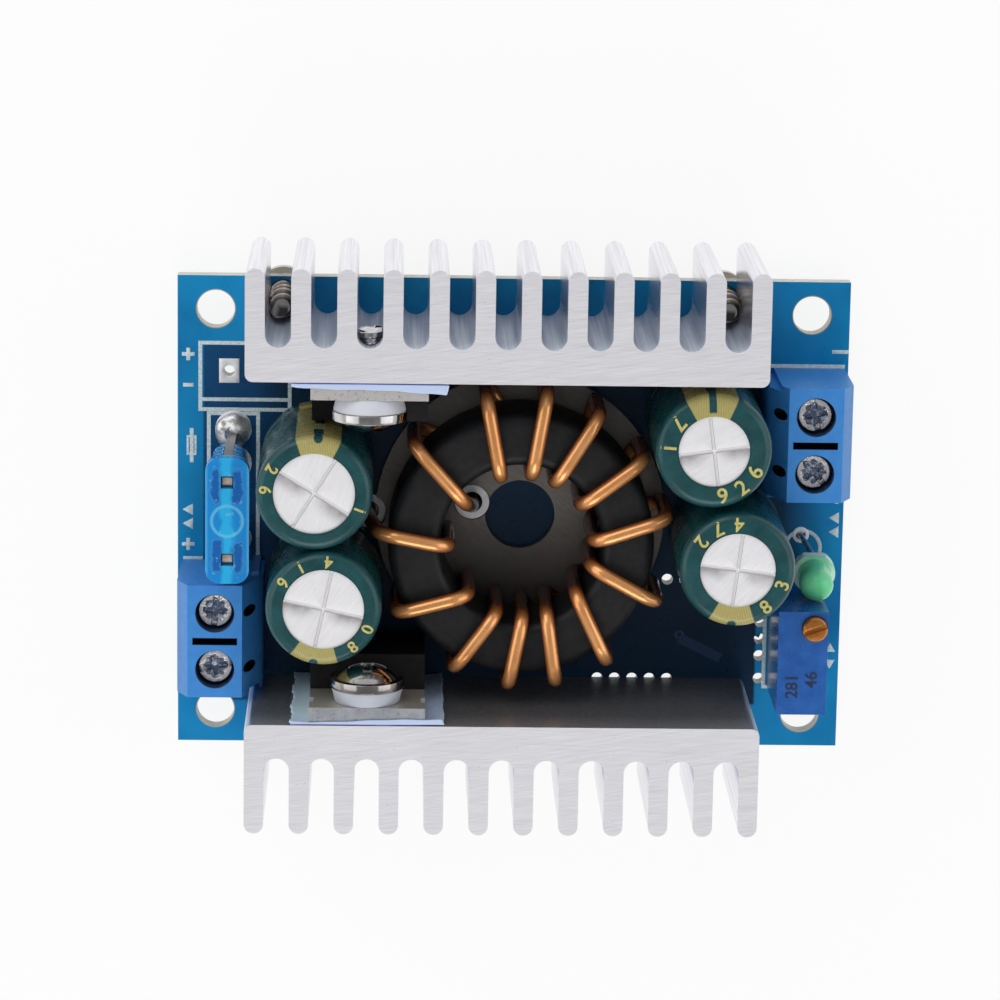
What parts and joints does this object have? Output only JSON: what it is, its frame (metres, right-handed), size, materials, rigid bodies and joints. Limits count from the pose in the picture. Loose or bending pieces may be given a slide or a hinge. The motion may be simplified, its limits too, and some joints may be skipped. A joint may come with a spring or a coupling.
{
  "type": "boost converter module",
  "caption": "Step-up DC-DC converter board with two finned heatsinks, a toroid choke, electrolytic capacitors, screw terminals, a trimmer and a blade fuse.",
  "frame": {"origin": "centre of the four mounting holes on the underside of the board", "axes": "+X along the board from the input to the output terminal, +Y towards the rear heatsink, +Z out of the component side"},
  "size_m": [0.06, 0.0498, 0.0212],
  "materials": {
    "solder_mask": "blue solder mask with white legend",
    "extruded_aluminium": "mill finish, sawn ends",
    "plated_steel": "bright zinc or nickel plating",
    "tinned_metal": "tin plated",
    "moulded_black": "moulded epoxy",
    "silicone": "pale blue silicone sheet",
    "white_nylon": "moulded",
    "coated_core": "black epoxy coat on pressed powder",
    "enamelled_copper": "clear enamel on copper",
    "base_board": "dark fibre board",
    "can_aluminium": "pressed, scored top",
    "shrink_sleeve": "teal sleeve with gold polarity band",
    "seal_rubber": "moulded",
    "terminal_nylon": "moulded, satin",
    "trimmer_case": "moulded",
    "brass": "turned",
    "led_epoxy": "diffused green epoxy",
    "fuse_plastic": "translucent blue",
    "fuse_metal": "tin plated zinc",
    "solder": "reflowed, shiny",
    "chip_body": "fired"
  },
  "bodies": {
    "module": {"circuit_board": "solder_mask", "heatsink_screws": "plated_steel", "rear_heatsink": "extruded_aluminium", "rear_transistor_tab": "tinned_metal", "rear_transistor_body": "moulded_black", "rear_insulating_pad": "silicone", "rear_insulating_bush": "white_nylon", "rear_transistor_screw": "plated_steel", "front_heatsink": "extruded_aluminium", "front_transistor_tab": "tinned_metal", "front_transistor_body": "moulded_black", "front_insulating_pad": "silicone", "front_insulating_bush": "white_nylon", "front_transistor_screw": "plated_steel", "choke_core": "coated_core", "choke_winding": "enamelled_copper", "choke_base": "base_board", "input_capacitor_1_can": "can_aluminium", "input_capacitor_1_sleeve": "shrink_sleeve", "input_capacitor_1_seal": "seal_rubber", "input_capacitor_1_leads": "tinned_metal", "input_capacitor_2_can": "can_aluminium", "input_capacitor_2_sleeve": "shrink_sleeve", "input_capacitor_2_seal": "seal_rubber", "input_capacitor_2_leads": "tinned_metal", "output_capacitor_1_can": "can_aluminium", "output_capacitor_1_sleeve": "shrink_sleeve", "output_capacitor_1_seal": "seal_rubber", "output_capacitor_1_leads": "tinned_metal", "output_capacitor_2_can": "can_aluminium", "output_capacitor_2_sleeve": "shrink_sleeve", "output_capacitor_2_seal": "seal_rubber", "output_capacitor_2_leads": "tinned_metal", "input_terminal_housing": "terminal_nylon", "input_terminal_pins": "tinned_metal", "output_terminal_housing": "terminal_nylon", "output_terminal_pins": "tinned_metal", "trimmer_body": "trimmer_case", "trimmer_pins": "tinned_metal", "led_lens": "led_epoxy", "led_leads": "tinned_metal", "fuse_housing": "fuse_plastic", "fuse_element": "fuse_metal", "solder_joints": "solder", "control_chip_body": "moulded_black", "control_chip_legs": "tinned_metal", "chip_parts": "chip_body", "chip_part_ends": "solder"},
    "trimmer_adjuster": {"trimmer_screw": "brass"},
    "input_pole_screw_1": {"input_screw_1": "plated_steel"},
    "input_pole_clamp_1": {"input_clamp_1": "tinned_metal"},
    "input_pole_screw_2": {"input_screw_2": "plated_steel"},
    "input_pole_clamp_2": {"input_clamp_2": "tinned_metal"},
    "output_pole_screw_1": {"output_screw_1": "plated_steel"},
    "output_pole_clamp_1": {"output_clamp_1": "tinned_metal"},
    "output_pole_screw_2": {"output_screw_2": "plated_steel"},
    "output_pole_clamp_2": {"output_clamp_2": "tinned_metal"}
  },
  "joints": [
    {"name": "trimmer_turn", "type": "hinge", "parent": "module", "child": "trimmer_adjuster", "pos_m": [0.0267, -0.0079, 0.0116], "axis": [0, 0, 1], "continuous": true},
    {"name": "input_screw_turn_1", "type": "hinge", "parent": "module", "child": "input_pole_screw_1", "pos_m": [-0.02625, -0.01214, 0.0093], "axis": [0, 0, -1], "range_deg": [0, 1225]},
    {"name": "input_clamp_rise_1", "type": "slide", "parent": "module", "child": "input_pole_clamp_1", "axis": [0, 0, 1], "range_m": [0, 0.0017]},
    {"name": "input_screw_turn_2", "type": "hinge", "parent": "module", "child": "input_pole_screw_2", "pos_m": [-0.02625, -0.00706, 0.0093], "axis": [0, 0, -1], "range_deg": [0, 1225]},
    {"name": "input_clamp_rise_2", "type": "slide", "parent": "module", "child": "input_pole_clamp_2", "axis": [0, 0, 1], "range_m": [0, 0.0017]},
    {"name": "output_screw_turn_1", "type": "hinge", "parent": "module", "child": "output_pole_screw_1", "pos_m": [0.02625, 0.01109, 0.0093], "axis": [0, 0, -1], "range_deg": [0, 1225]},
    {"name": "output_clamp_rise_1", "type": "slide", "parent": "module", "child": "output_pole_clamp_1", "axis": [0, 0, 1], "range_m": [0, 0.0017]},
    {"name": "output_screw_turn_2", "type": "hinge", "parent": "module", "child": "output_pole_screw_2", "pos_m": [0.02625, 0.00601, 0.0093], "axis": [0, 0, -1], "range_deg": [0, 1225]},
    {"name": "output_clamp_rise_2", "type": "slide", "parent": "module", "child": "output_pole_clamp_2", "axis": [0, 0, 1], "range_m": [0, 0.0017]}
  ],
  "couplings": [
    {"joint": "input_screw_turn_1", "follows": "input_clamp_rise_1", "rad_per_m": 12566},
    {"joint": "input_screw_turn_2", "follows": "input_clamp_rise_2", "rad_per_m": 12566},
    {"joint": "output_screw_turn_1", "follows": "output_clamp_rise_1", "rad_per_m": 12566},
    {"joint": "output_screw_turn_2", "follows": "output_clamp_rise_2", "rad_per_m": 12566}
  ]
}
